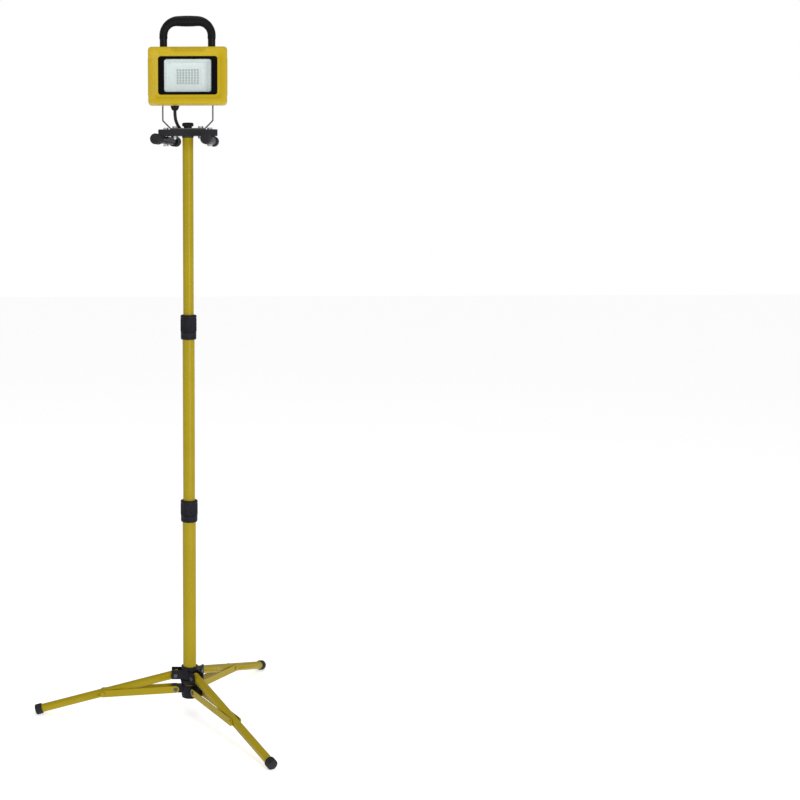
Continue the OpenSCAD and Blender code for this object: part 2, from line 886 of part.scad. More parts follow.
module cord_coil() color(BLACK) at_mast()
    translate([0, coil_y, coil_z])
        rotate([0, 90, 0])
            rotate_extrude()
                translate([coil_r, 0])
                    rounded_rect(2 * coil_half_h, 2 * coil_half_w, 3);

// Flat two-pin plug with its strain relief and pins
module mains_plug() color(BLACK) at_mast() {
    translate([0, plug_y, plug_z - 20])
        cylinder(h = 20 - fit, r1 = 6.5, r2 = 5);
    translate([0, plug_y, plug_z - 56]) {
        for (y = [-1, 1])
            translate([0, y * 10.5, 0])
                cylinder(h = 36, r = 7);
        translate([-7, -10.5, 0])
            cube([14, 21, 36]);
    }
    for (y = [-1, 1])
        translate([0, plug_y + y * 9, plug_z - 75])
            cylinder(h = 20, r = 2);
}

// Hook-and-loop strap round the top of the coil
module cable_tie() color([0.12, 0.12, 0.13]) at_mast()
    translate([0, coil_y, coil_z + coil_r])
        difference() {
            translate([-coil_half_w - 2, -8, -coil_half_h - 3.2])
                cube([2 * coil_half_w + 4, 16, 2 * coil_half_h + 5.4]);
            translate([-coil_half_w - 0.1, -9, -coil_half_h - 1.4])
                cube([2 * coil_half_w + 0.2, 18, 2 * coil_half_h + 1.6]);
        }

front_frame();
glass_bezel();
lens_glass();
lens_gasket();
reflector();
led_board();
led_chips();
led_plate();
led_driver();
terminal_block();
heatsink_housing();
housing_screws();
handle_tube();
handle_grip();
handle_bolts();
gland_body();
gland_cap();
tilt_bolts();
u_bracket();
crossbar();
crossbar_caps();
bracket_bolts();
foot_bolts();
foot_left_tube();
foot_left_caps();
foot_right_tube();
foot_right_caps();
clamp_knob();
swivel_washer();
top_tube();
top_plug();
top_bush();
middle_tube();
middle_bush();
upper_lock_base();
upper_collet();
upper_lock_nut();
bottom_tube();
lower_lock_base();
lower_collet();
lower_lock_nut();
brace_hub();
brace_hub_pins();
mast_end_cap();
leg_hub();
leg_hub_pins();
hub_lock_nut();
leg_1();
leg_2();
leg_3();
leg_cap_1();
leg_cap_2();
leg_cap_3();
brace_1();
brace_2();
brace_3();
cord_runs();
cord_coil();
mains_plug();
cable_tie();
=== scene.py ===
import json
import math

import bpy
from mathutils import Matrix, Vector


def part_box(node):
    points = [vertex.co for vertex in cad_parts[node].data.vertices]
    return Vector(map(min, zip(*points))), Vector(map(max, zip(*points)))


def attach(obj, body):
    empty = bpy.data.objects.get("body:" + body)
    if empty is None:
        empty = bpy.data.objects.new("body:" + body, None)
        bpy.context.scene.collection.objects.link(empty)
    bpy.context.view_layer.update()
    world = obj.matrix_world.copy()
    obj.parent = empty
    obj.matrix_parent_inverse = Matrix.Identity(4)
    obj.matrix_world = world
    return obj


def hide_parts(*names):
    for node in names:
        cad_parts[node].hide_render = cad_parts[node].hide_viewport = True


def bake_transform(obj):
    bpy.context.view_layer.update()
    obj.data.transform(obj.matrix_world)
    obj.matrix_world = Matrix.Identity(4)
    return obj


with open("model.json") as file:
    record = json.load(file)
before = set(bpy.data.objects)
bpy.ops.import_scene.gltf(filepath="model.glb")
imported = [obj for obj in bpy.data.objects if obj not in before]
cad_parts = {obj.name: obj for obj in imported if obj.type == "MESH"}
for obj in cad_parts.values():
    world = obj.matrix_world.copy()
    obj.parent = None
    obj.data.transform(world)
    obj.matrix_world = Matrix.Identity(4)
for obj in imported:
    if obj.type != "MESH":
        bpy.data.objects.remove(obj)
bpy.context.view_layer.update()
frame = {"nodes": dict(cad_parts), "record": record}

NODES = frame["nodes"]
MM = 0.001


def box(node):
    low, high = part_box(node)
    return Vector(low), Vector(high)


def centre(node):
    low, high = box(node)
    return (low + high) / 2


MAST = centre("bottom_tube")


def at(x, y, z):
    """A point given in millimetres from the mast's axis."""
    return Vector((MAST.x + x * MM, MAST.y + y * MM, z * MM))


def mast_mm(p):
    """Millimetres from the mast's axis of a point in metres."""
    return Vector(((p.x - MAST.x) / MM, (p.y - MAST.y) / MM, p.z / MM))


def box_mm(node):
    low, high = box(node)
    return mast_mm(low), mast_mm(high)


# ---------------------------------------------------------------- camera

# lens in mm, shift in widths of the picture, place in mm from the mast, angles in degrees
LENS = 60.7
SHIFT_X = 0.264
CAMERA_SPOT = (0, -3000, 1180)
LOOK_DOWN = 8.36
ROLL = -0.2

camera_data = bpy.data.cameras.new("photo_camera")
camera_data.sensor_width = 36
camera_data.lens = LENS
camera_data.shift_x = SHIFT_X
camera_data.clip_end = 100
camera = bpy.data.objects.new("photo_camera", camera_data)
bpy.context.scene.collection.objects.link(camera)
camera.matrix_world = (
    Matrix.Translation(at(*CAMERA_SPOT))
    @ Matrix.Rotation(math.radians(90 - LOOK_DOWN), 4, "X")
    @ Matrix.Rotation(math.radians(ROLL), 4, "Z")
)
bpy.context.scene.camera = camera
bpy.context.scene.view_settings.view_transform = "Standard"


# ---------------------------------------------------------------- materials

def new_material(name):
    material = bpy.data.materials.new(name)
    material.use_nodes = True
    tree = material.node_tree
    return material, tree, tree.nodes["Principled BSDF"]


def noise(tree, coords, scale, detail=4.0, rough=0.55, stretch=None):
    node = tree.nodes.new("ShaderNodeTexNoise")
    node.inputs["Scale"].default_value = scale
    node.inputs["Detail"].default_value = detail
    node.inputs["Roughness"].default_value = rough
    if stretch:
        mapping = tree.nodes.new("ShaderNodeMapping")
        mapping.inputs["Scale"].default_value = stretch
        tree.links.new(coords, mapping.inputs["Vector"])
        coords = mapping.outputs["Vector"]
    tree.links.new(coords, node.inputs["Vector"])
    return node.outputs["Fac"]


def remap(tree, value, low, high, out_low, out_high):
    node = tree.nodes.new("ShaderNodeMapRange")
    node.inputs["From Min"].default_value = low
    node.inputs["From Max"].default_value = high
    node.inputs["To Min"].default_value = out_low
    node.inputs["To Max"].default_value = out_high
    tree.links.new(value, node.inputs["Value"])
    return node.outputs["Result"]


def blend_colour(tree, factor, a, b):
    node = tree.nodes.new("ShaderNodeMix")
    node.data_type = "RGBA"
    tree.links.new(factor, node.inputs["Factor"])
    for socket, value in ((node.inputs["A"], a), (node.inputs["B"], b)):
        if isinstance(value, tuple):
            socket.default_value = (*value, 1)
        else:
            tree.links.new(value, socket)
    return node.outputs["Result"]


def shade(colour, factor):
    return tuple(min(1.0, c * factor) for c in colour)


def surface(name, colour, rough=0.45, vary=0.08, cloud=30, grain=900, bump=0.08, depth=0.0002,
            metal=0.0, coat=0.0, coat_rough=0.1, specular=0.5, stretch=None, scuff=None, scuff_amount=0.6):
    """A finish with clouded colour, uneven gloss, fine relief and, where scuff is a colour, light wear."""
    material, tree, shader = new_material(name)
    coords = tree.nodes.new("ShaderNodeTexCoord").outputs["Object"]
    clouds = noise(tree, coords, cloud, 5.0)
    spread = remap(tree, clouds, 0.3, 0.7, 0.0, 1.0)
    base = blend_colour(tree, spread, shade(colour, 1 - vary), shade(colour, 1 + vary))
    fine = noise(tree, coords, grain, 3.0, 0.6, stretch)
    if scuff:
        marks = noise(tree, coords, 55, 12.0, 0.75, (1.0, 1.0, 3.0))
        mask = remap(tree, marks, 0.66, 0.72, 0.0, scuff_amount)
        base = blend_colour(tree, mask, base, scuff)
    tree.links.new(base, shader.inputs["Base Color"])
    gloss = noise(tree, coords, cloud * 3, 6.0)
    tree.links.new(remap(tree, gloss, 0.3, 0.7, rough * 0.85, rough * 1.18), shader.inputs["Roughness"])
    relief = tree.nodes.new("ShaderNodeBump")
    relief.inputs["Strength"].default_value = bump
    relief.inputs["Distance"].default_value = depth
    tree.links.new(fine, relief.inputs["Height"])
    tree.links.new(relief.outputs["Normal"], shader.inputs["Normal"])
    shader.inputs["Metallic"].default_value = metal
    shader.inputs["Coat Weight"].default_value = coat
    shader.inputs["Coat Roughness"].default_value = coat_rough
    shader.inputs["Specular IOR Level"].default_value = specular
    return material


def woven(name, colour, pitch):
    """Narrow fabric: two crossed sets of threads, with a soft sheen; the colour is painted lighter on the
    raised crossings and darker in the hollows between them, as painted highlight and painted shade.
    """
    material, tree, shader = new_material(name)
    coords = tree.nodes.new("ShaderNodeTexCoord").outputs["Object"]
    waves = []
    for direction in ("X", "Y"):
        wave = tree.nodes.new("ShaderNodeTexWave")
        wave.bands_direction = direction
        wave.inputs["Scale"].default_value = pitch
        wave.inputs["Distortion"].default_value = 1.2
        tree.links.new(coords, wave.inputs["Vector"])
        waves.append(wave.outputs["Fac"])
    cross = tree.nodes.new("ShaderNodeMath")
    cross.operation = "MULTIPLY"
    tree.links.new(waves[0], cross.inputs[0])
    tree.links.new(waves[1], cross.inputs[1])
    # painted shade in the weave's hollows and painted highlight on its crests: the colour follows the same
    # height as the bump
    tree.links.new(blend_colour(tree, cross.outputs[0], shade(colour, 0.6), shade(colour, 1.5)),
                   shader.inputs["Base Color"])
    relief = tree.nodes.new("ShaderNodeBump")
    relief.inputs["Strength"].default_value = 0.5
    relief.inputs["Distance"].default_value = 0.0003
    tree.links.new(cross.outputs[0], relief.inputs["Height"])
    tree.links.new(relief.outputs["Normal"], shader.inputs["Normal"])
    shader.inputs["Roughness"].default_value = 0.9
    shader.inputs["Sheen Weight"].default_value = 0.4
    return material


HEAD_YELLOW = surface("head_paint", (0.465, 0.33, 0.003), rough=0.42, vary=0.05, cloud=14, grain=700,
                      bump=0.12, depth=0.00025, specular=0.25, scuff=(0.35, 0.25, 0.012),
                      scuff_amount=0.25)
TUBE_YELLOW = surface("tube_paint", (0.335, 0.252, 0.0005), rough=0.34, vary=0.06, cloud=12, grain=500,
                      bump=0.06, depth=0.0002, specular=0.2, coat=0.02, coat_rough=0.15,
                      scuff=(0.25, 0.19, 0.005), scuff_amount=0.3)
HOUSING_BLACK = surface("housing_paint", (0.012, 0.013, 0.016), rough=0.42, vary=0.15, cloud=25,
                        grain=1100, bump=0.2, depth=0.0003, specular=0.3)
HANDLE_BLACK = surface("handle_paint", (0.005, 0.005, 0.006), rough=0.33, vary=0.12, cloud=30,
                       grain=1200, bump=0.12, specular=0.12)
PLASTIC = surface("moulded_plastic", (0.008, 0.008, 0.012), rough=0.48, vary=0.18, cloud=40,
                  grain=1600, bump=0.25, depth=0.00025, specular=0.14, scuff=(0.03, 0.03, 0.034),
                  scuff_amount=0.35)
KNOB_PLASTIC = surface("knob_plastic", (0.007, 0.007, 0.009), rough=0.42, vary=0.15, cloud=45,
                       grain=1500, bump=0.22, depth=0.00025, specular=0.2)
RUBBER = surface("cap_rubber", (0.012, 0.012, 0.015), rough=0.62, vary=0.2, cloud=50, grain=1300,
                 bump=0.35, depth=0.0003, specular=0.25, scuff=(0.05, 0.05, 0.055), scuff_amount=0.4)
GRIP_RUBBER = surface("grip_rubber", (0.005, 0.005, 0.006), rough=0.55, vary=0.18, cloud=60,
                      grain=1800, bump=0.4, depth=0.0003, specular=0.12)
CORD_RUBBER = surface("cord_rubber", (0.009, 0.009, 0.011), rough=0.55, vary=0.15, cloud=60,
                      grain=2000, bump=0.3, depth=0.0002, specular=0.25)
GASKET = surface("gasket_rubber", (0.02, 0.02, 0.02), rough=0.7, vary=0.2, cloud=60, grain=1500,
                 bump=0.3)
BEZEL = surface("bezel_print", (0.003, 0.003, 0.004), rough=0.25, vary=0.1, cloud=20, grain=900,
                bump=0.03, specular=0.05)
BRACKET = surface("bracket_paint", (0.10, 0.10, 0.105), rough=0.36, vary=0.12, cloud=30, grain=900,
                  bump=0.12, metal=0.35, scuff=(0.28, 0.28, 0.29), scuff_amount=0.5)
BAR_BLACK = surface("bar_paint", (0.009, 0.009, 0.012), rough=0.38, vary=0.14, cloud=30, grain=1100,
                    bump=0.15, specular=0.28, scuff=(0.05, 0.05, 0.05), scuff_amount=0.35)
ZINC = surface("bright_zinc", (0.70, 0.71, 0.73), rough=0.24, vary=0.1, cloud=90, grain=1500,
               bump=0.12, metal=1.0, stretch=(1, 1, 6))
PIN_STEEL = surface("pin_black_oxide", (0.085, 0.085, 0.09), rough=0.4, vary=0.12, cloud=90,
                    grain=1500, bump=0.12, metal=0.8)
PLATE = surface("rolled_aluminium", (0.74, 0.75, 0.76), rough=0.38, vary=0.05, cloud=20, grain=900,
                bump=0.1, metal=1.0, stretch=(20, 1, 1))
CASE = surface("stamped_case", (0.58, 0.59, 0.60), rough=0.4, vary=0.06, cloud=30, grain=900, bump=0.1,
               metal=1.0)
REFLECTOR = surface("reflector_paint", (0.74, 0.82, 0.81), rough=0.4, vary=0.02, cloud=20, grain=700,
                    bump=0.03, specular=0.3)
BOARD = surface("board_mask", (0.74, 0.82, 0.80), rough=0.35, vary=0.02, cloud=60, grain=900,
                bump=0.04, specular=0.3)
PHOSPHOR = surface("led_phosphor", (0.22, 0.28, 0.265), rough=0.35, vary=0.06, cloud=200, grain=1500,
                   bump=0.05, coat=0.2)
TERMINAL = surface("terminal_plastic", (0.75, 0.75, 0.72), rough=0.45, vary=0.04, cloud=60, grain=1200,
                   bump=0.1)
COLLET = surface("collet_plastic", (0.72, 0.72, 0.68), rough=0.42, vary=0.04, cloud=60, grain=1200,
                 bump=0.1)
NYLON = surface("washer_nylon", (0.05, 0.05, 0.052), rough=0.5, vary=0.1, cloud=60, grain=1200,
                bump=0.15)
NICKEL = surface("pin_nickel", (0.72, 0.68, 0.58), rough=0.22, vary=0.06, cloud=120, grain=1500,
                    bump=0.08, metal=1.0)
STRAP = woven("strap_weave", (0.022, 0.022, 0.025), 260)


def clear_glass():
    material, tree, shader = new_material("front_glass")
    coords = tree.nodes.new("ShaderNodeTexCoord").outputs["Object"]
    smears = noise(tree, coords, 18, 8.0, 0.65)
    tree.links.new(remap(tree, smears, 0.35, 0.75, 0.03, 0.14), shader.inputs["Roughness"])
    haze = noise(tree, coords, 9, 3.0)
    tree.links.new(remap(tree, haze, 0.2, 0.8, 0.14, 0.20), shader.inputs["Alpha"])
    tree.links.new(blend_colour(tree, haze, (0.80, 0.86, 0.85), (0.86, 0.90, 0.90)),
                   shader.inputs["Base Color"])
    shader.inputs["IOR"].default_value = 1.5
    shader.inputs["Coat Weight"].default_value = 0.6
    shader.inputs["Coat Roughness"].default_value = 0.03
    return material


GLASS = clear_glass()


# ---------------------------------------------------------------- shape tools

class Shape:
    """Collects the faces of one piece, in millimetres from the mast's axis."""

    def __init__(self):
        self.points = []
        self.faces = []

    def rings(self, rings, place=None, loop=False):
        """Joins rings of equal length; loop joins the last one to the first, else both ends are closed."""
        place = place or Matrix()
        base, n, count = len(self.points), len(rings[0]), len(rings)
        self.points += [place @ Vector(p) for ring in rings for p in ring]
        for i in range(count if loop else count - 1):
            a, b = base + i * n, base + ((i + 1) % count) * n
            for k in range(n):
                q = (k + 1) % n
                self.faces.append((a + k, a + q, b + q, b + k))
        if not loop:
            self.faces.append(tuple(base + k for k in reversed(range(n))))
            self.faces.append(tuple(base + (count - 1) * n + k for k in range(n)))

    def lathe(self, profile, place=None, sides=64, flute=None, loop=False):
        """Turns (radius, height, flute share) points about the local Z axis."""
        rings = []
        for radius, height, *share in profile:
            ring = []
            for k in range(sides):
                angle = 2 * math.pi * k / sides
                r = radius - (share[0] * flute(angle) if share and flute else 0)
                ring.append((r * math.cos(angle), r * math.sin(angle), height))
            rings.append(ring)
        self.rings(rings, place, loop)

    def box(self, low, high, edge, place=None):
        """A block with rounded edges."""
        (x0, y0, z0), (x1, y1, z1) = low, high
        e = min(edge, (x1 - x0) / 2.01, (y1 - y0) / 2.01, (z1 - z0) / 2.01)
        cx, cy, w, h = (x0 + x1) / 2, (y0 + y1) / 2, x1 - x0, y1 - y0
        rise = [(0, e), (0.3 * e, 0.3 * e), (e, 0)]
        steps = [(z0 + z, d) for z, d in rise] + [(z1 - z, d) for z, d in reversed(rise)]
        rings = [[(cx + x, cy + y, z) for x, y in outline(w - 2 * d, h - 2 * d, max(e - d, 0.05), 3)]
                 for z, d in steps]
        self.rings(rings, place)

    def piece(self, name, body, material, replaces=(), smooth=35):
        mesh = bpy.data.meshes.new(name)
        mesh.from_pydata([at(*p) for p in self.points], [], self.faces)
        mesh.validate()
        mesh.polygons.foreach_set("use_smooth", [True] * len(mesh.polygons))
        mesh.set_sharp_from_angle(angle=math.radians(smooth))
        obj = bpy.data.objects.new(name, mesh)
        bpy.context.scene.collection.objects.link(obj)
        mesh.materials.append(material)
        if body:
            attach(obj, body)
        if replaces:
            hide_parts(*replaces)
        return obj


def outline(w, h, r, corner=6):
    """Rounded rectangle about the origin, anticlockwise, as (x, y) points."""
    points = []
    for cx, cy, start in ((w / 2 - r, h / 2 - r, 0), (r - w / 2, h / 2 - r, 90),
                          (r - w / 2, r - h / 2, 180), (w / 2 - r, r - h / 2, 270)):
        for k in range(corner + 1):
            a = math.radians(start + 90 * k / corner)
            points.append((cx + r * math.cos(a), cy + r * math.sin(a)))
    return points


def along(axis, origin):
    """Matrix that turns local +Z to axis, at origin."""
    return Matrix.Translation(origin) @ Vector(axis).to_track_quat("Z", "Y").to_matrix().to_4x4()


def flutes(count, depth, sharp=2.0):
    """Grooves round a turned piece; 0 on the crests, depth in the grooves."""
    return lambda angle: depth * (0.5 - 0.5 * math.cos(count * angle)) ** sharp


def ribs(count, depth, sharp=2.0):
    """Raised ribs: the surface is sunk by depth except on narrow crests."""
    return lambda angle: depth * (1 - (0.5 + 0.5 * math.cos(count * angle)) ** sharp)


def sweep_rings(path, section):
    """Rings along a path, turned as little as they can be; section(i) gives a ring's (u, v) points."""
    rings = []
    normal = None
    for i, p in enumerate(path):
        before, after = path[max(i - 1, 0)], path[min(i + 1, len(path) - 1)]
        tangent = (after - before).normalized()
        if normal is None:
            normal = tangent.orthogonal().normalized()
        normal = (normal - tangent * normal.dot(tangent)).normalized()
        side = tangent.cross(normal)
        rings.append([tuple(p + normal * u + side * v) for u, v in section(i)])
    return rings


def soften(node, width, material, segments=2, angle=35):
    """Gives a CAD node small rounded edges and its finish."""
    obj = NODES[node]
    weld = obj.modifiers.new("weld", "WELD")
    weld.merge_threshold = 1e-6
    if width:
        bevel = obj.modifiers.new("bevel", "BEVEL")
        bevel.width = width * MM
        bevel.segments = segments
        bevel.limit_method = "ANGLE"
        bevel.angle_limit = math.radians(angle)
        bevel.harden_normals = True
    if obj.material_slots:
        for s in obj.material_slots:
            s.material = material
    else:
        obj.data.materials.append(material)


# ---------------------------------------------------------------- supply cord

# the cord's route from the gland, and from the coil to the plug
CORD_D = 7.0
CORD_SIDES = 16
LEAD = [(-28, 0, 1377), (-28, 0, 1371), (-27.5, 0.5, 1364), (-26.5, 3, 1357), (-24, 6.5, 1350),
        (-21, 11, 1344), (-17.5, 15.5, 1339.5), (-14, 20, 1334), (-11, 23.5, 1327), (-8, 25, 1317),
        (-5.5, 25, 1305), (-4, 25, 1292), (-3.5, 25, 1280), (-3.5, 25, 1262), (-3.5, 25, 1252)]
TAIL = [(3.5, 39, 1211), (3.2, 44, 1204), (2.4, 47.2, 1196), (1.2, 48, 1188), (0.4, 48, 1181),
        (0, 48, 1175)]
# the coil stands upright in line with the mast: its middle, radii of the outer and inner turns, half spacing
COIL_Y, COIL_Z = 73, 1245
COIL_OUTER, COIL_INNER = 48, 34
COIL_SIDE = 3.5
COIL_STEPS = 22
COIL_TURNS = 6.125


def spline(points, steps):
    """Smooth curve through the points."""
    points = [Vector(p) for p in points]
    found = []
    for i in range(len(points) - 1):
        a, b = points[max(i - 1, 0)], points[i]
        c, d = points[i + 1], points[min(i + 2, len(points) - 1)]
        for k in range(steps):
            t = k / steps
            found.append(0.5 * (2 * b + (c - a) * t + (2 * a - 5 * b + 4 * c - d) * t * t
                                + (3 * b - a - 3 * c + d) * t ** 3))
    return found + [points[-1]]


def coil_turns():
    """Six turns and an eighth: in to the middle on one side, across, and out again on the other."""
    found = []
    for k in range(1, int(COIL_STEPS * COIL_TURNS)):
        turn = k / COIL_STEPS
        angle = math.pi + 2 * math.pi * turn
        if turn < 3:
            radius = COIL_OUTER - CORD_D * min(2.0, max(0.0, turn - 0.5) * 0.8)
        else:
            radius = COIL_INNER + CORD_D * min(2.0, max(0.0, turn - 3.5) * 0.8)
        cross = min(1.0, max(0.0, (turn - 2.7) / 0.6))
        x = COIL_SIDE * (2 * (3 * cross ** 2 - 2 * cross ** 3) - 1)
        found.append(Vector((x, COIL_Y + radius * math.cos(angle), COIL_Z + radius * math.sin(angle))))
    return found


cord_path = spline(LEAD, 3) + coil_turns() + spline(TAIL, 3)
cord_path = [p for i, p in enumerate(cord_path) if i == 0 or (p - cord_path[i - 1]).length > 0.5]


def cord_section(_):
    turns = [2 * math.pi * k / CORD_SIDES for k in range(CORD_SIDES)]
    return [(CORD_D / 2 * math.cos(a), CORD_D / 2 * math.sin(a)) for a in turns]


cord_shape = Shape()
cord_shape.rings(sweep_rings(cord_path, cord_section))
cord = cord_shape.piece("supply_cord", None, CORD_RUBBER, ("cord_runs", "cord_coil"), 60)

# plug: ribbed strain relief, flattened body with finger bars, two pins
RELIEF_L = 20
RELIEF_STEPS = 24
PLUG_OUTLINES = (  # height from the relief's end, width, thickness, corner radius
    (0.5, 13, 12, 5.9), (-1, 19, 12.6, 6.2), (-5, 28, 13.4, 6.6), (-9, 33.5, 13.9, 6.9), (-14, 35, 14, 6.9),
    (-22, 34.2, 13.6, 6.7), (-30, 34.6, 13.8, 6.8), (-34.8, 35, 14, 6.9), (-36, 33.6, 12.6, 6.2))
BODY_L = 36
PIN_R, PIN_L, PIN_OUT = 2.0, 19.1, 9

plug_low, plug_high = box_mm("mains_plug")
plug_y = (plug_low.y + plug_high.y) / 2
relief_end = plug_high.z - RELIEF_L
plug_place = Matrix.Translation((0, plug_y, 0))
plug = Shape()
relief = [(3.6, plug_high.z + 0.05)]
for i in range(RELIEF_STEPS + 1):
    t = i / RELIEF_STEPS
    groove = 0.7 if i % 4 in (1, 2) and 2 < i < RELIEF_STEPS - 1 else 0.0
    relief.append((5.0 + 1.5 * t - groove, plug_high.z - RELIEF_L * t))
plug.lathe(relief, plug_place, 40)
plug.rings([[(x, plug_y + y, relief_end + z) for y, x in outline(w, h, r, 8)]
            for z, w, h, r in PLUG_OUTLINES])
for side in (-1, 1):
    for k in range(5):
        z = relief_end - 12 - 4 * k
        plug.box((side * 6.4 - 0.7, plug_y - 11 + k, z - 0.9),
                 (side * 6.4 + 0.7, plug_y + 11 - k, z + 0.9), 0.6)
mains_plug = plug.piece("plug_body", "stand", RUBBER, ("mains_plug",))

pins = Shape()
pin_top = relief_end - BODY_L + 0.2
for side in (-1, 1):
    pins.lathe([(PIN_R, pin_top), (PIN_R, pin_top - PIN_L + 1.9), (0.8 * PIN_R, pin_top - PIN_L + 0.6),
                (0.3 * PIN_R, pin_top - PIN_L)], Matrix.Translation((0, plug_y + side * PIN_OUT, 0)), 24)
plug_pins = pins.piece("plug_pins", "stand", NICKEL)

# strap round the coil
STRAP_T = 1.2
tie_low, tie_high = box_mm("cable_tie")
tie_mid = (tie_low + tie_high) / 2
tie_size = tie_high - tie_low
tie = Shape()


def tie_ring(inset, y):
    bulge = 0.4 * math.sin(math.pi * (y - tie_low.y) / tie_size.y) - 0.4 - 2 * inset
    return [(tie_mid.x + x, y, tie_mid.z + z)
            for x, z in outline(tie_size.x + bulge, tie_size.z + bulge, 4 - inset, 8)]


tie_steps = [tie_low.y + tie_size.y * k / 10 for k in range(11)]
tie.rings([tie_ring(0, y) for y in tie_steps] + [tie_ring(STRAP_T, y) for y in reversed(tie_steps)],
          loop=True)
tie.box((tie_high.x - 0.4, tie_low.y + 1, tie_mid.z - 9), (tie_high.x + 0.9, tie_high.y - 1, tie_mid.z + 7),
        0.5)
cable_tie = tie.piece("cord_strap", "stand", STRAP, ("cable_tie",))

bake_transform(cord)


# ---------------------------------------------------------------- lamp head

frame_low, frame_high = box_mm("front_frame")
glass_low, glass_high = box_mm("lens_glass")
HEAD_W, HEAD_H = frame_high.x - frame_low.x, frame_high.z - frame_low.z
HEAD_Z = (frame_low.z + frame_high.z) / 2
FRONT, BACK = frame_low.y, frame_high.y
GLASS_LAP = 5
WIN_W = glass_high.x - glass_low.x - 2 * GLASS_LAP
WIN_H = glass_high.z - glass_low.z - 2 * GLASS_LAP
INSET = 7.5
WALL = 5
SCREW_IN = 10
SCREWS = [(x * (HEAD_W / 2 - SCREW_IN), HEAD_Z + z * (HEAD_H / 2 - SCREW_IN))
          for x in (-1, 1) for z in (-1, 1)]


def head_loop(w, h, r, y):
    return [(x, y, HEAD_Z + z) for x, z in outline(w, h, r, 8)]


# each step: how much smaller than the frame or larger than the window, corner radius, place along Y
OUTER_STEPS = [
    (0, 8, BACK), (0, 8, BACK - 0.6), (0.8, 7.6, BACK - 1.4), (0.8, 7.6, BACK - 3.4), (0, 8, BACK - 4.4),
    (0, 8, BACK - 8), (1.4, 7.6, FRONT + 10), (1.7, 7.4, FRONT + 5), (2.3, 7, FRONT + 2.4),
    (3.8, 6.2, FRONT + 0.8), (6.2, 5.2, FRONT + 0.1), (8, 4.6, FRONT)]
WINDOW_STEPS = [
    (2 * INSET + 1.2, 9.4, FRONT), (2 * INSET + 0.2, 9, FRONT + 0.3), (2 * INSET - 0.6, 8.6, FRONT + 1.3),
    (2 * INSET - 1.8, 8, FRONT + 1.6), (3.2, 6.6, FRONT + 1.8), (1.2, 6.2, FRONT + 2.1),
    (0.2, 6, FRONT + 2.9), (0, 6, FRONT + 4), (0, 6, FRONT + 6)]
INNER_STEPS = [(2 * WALL, 5, FRONT + 6), (2 * WALL, 5, BACK)]

shell = Shape()
shell.rings([head_loop(HEAD_W - d, HEAD_H - d, r, y) for d, r, y in OUTER_STEPS]
            + [head_loop(WIN_W + d, WIN_H + d, r, y) for d, r, y in WINDOW_STEPS]
            + [head_loop(HEAD_W - d, HEAD_H - d, r, y) for d, r, y in INNER_STEPS], loop=True)
for x, z in SCREWS:
    shell.lathe([(5, FRONT + 5.9), (5, BACK - 0.2), (2, BACK - 0.2), (2, BACK - 20), (0.05, BACK - 20)],
                Matrix.Translation((x, 0, z)) @ Matrix.Rotation(math.radians(-90), 4, "X"), 24)
shell.piece("front_frame_cast", "head", HEAD_YELLOW, ("front_frame",), 32)

# raised ribs on the frame's face, sides and underside
RIB_PITCH_TOP, RIB_PITCH_SIDE, RIB_PITCH_UNDER = 4.4, 4.8, 10.5
TOP_BAND = HEAD_Z + (WIN_H / 2 + INSET + HEAD_H / 2) / 2 - 0.5
SIDE_BAND = (WIN_W / 2 + INSET + HEAD_W / 2) / 2 - 0.5
details = Shape()
for i in range(17):
    x = (i - 8) * RIB_PITCH_TOP + 2
    details.box((x - 0.9, FRONT - 1.3, TOP_BAND - 5.6), (x + 0.9, FRONT + 0.6, TOP_BAND + 5.6), 0.6)
for side in (-1, 1):
    for i in range(16):
        z = HEAD_Z + (i - 7.5) * RIB_PITCH_SIDE - 3
        x = side * SIDE_BAND
        details.box((x - 5.0, FRONT - 0.55, z - 0.7), (x + 5.0, FRONT + 0.4, z + 0.7), 0.4)
        x = side * (HEAD_W / 2 - 0.9)
        details.box((x - 1.0, FRONT + 6, z - 0.8), (x + 1.0, BACK - 9, z + 0.8), 0.6)
for i in range(13):
    x = (i - 6) * RIB_PITCH_UNDER
    z = HEAD_Z - HEAD_H / 2 + 0.6
    details.box((x - 1.1, FRONT + 7, z - 0.9), (x + 1.1, BACK - 9, z + 0.9), 0.6)
details.piece("front_frame_ribs", "head", HEAD_YELLOW)

soften("glass_bezel", 0.3, BEZEL)
soften("lens_glass", 0.3, GLASS)
soften("lens_gasket", 0.2, GASKET)
soften("reflector", 0.0, REFLECTOR)
soften("led_board", 0.2, BOARD)
soften("led_chips", 0.2, PHOSPHOR)
soften("led_plate", 0.2, PLATE)
soften("led_driver", 1.2, CASE)
soften("terminal_block", 0.6, TERMINAL)
soften("heatsink_housing", 0.7, HOUSING_BLACK, 3)
soften("gland_body", 0.5, PLASTIC)
soften("handle_tube", 0.0, HANDLE_BLACK)
soften("handle_bolts", 0.5, ZINC)

# grip sleeve on the handle
TUBE_R = 8
CORNER = 30.0
LEG_STEPS, CORNER_STEPS, BAR_STEPS = 9, 24, 60
GRIP_SIDES = 72
END_BAND = 26
grip_low, grip_high = box_mm("handle_grip")
tube_low, tube_high = box_mm("handle_tube")
handle_y = (tube_low.y + tube_high.y) / 2
leg_x = (tube_high.x - tube_low.x) / 2 - TUBE_R
sleeve_r = (grip_high.x - grip_low.x) / 2 - leg_x
grip_r = (grip_high.y - grip_low.y) / 2
bar_z = grip_high.z - grip_r


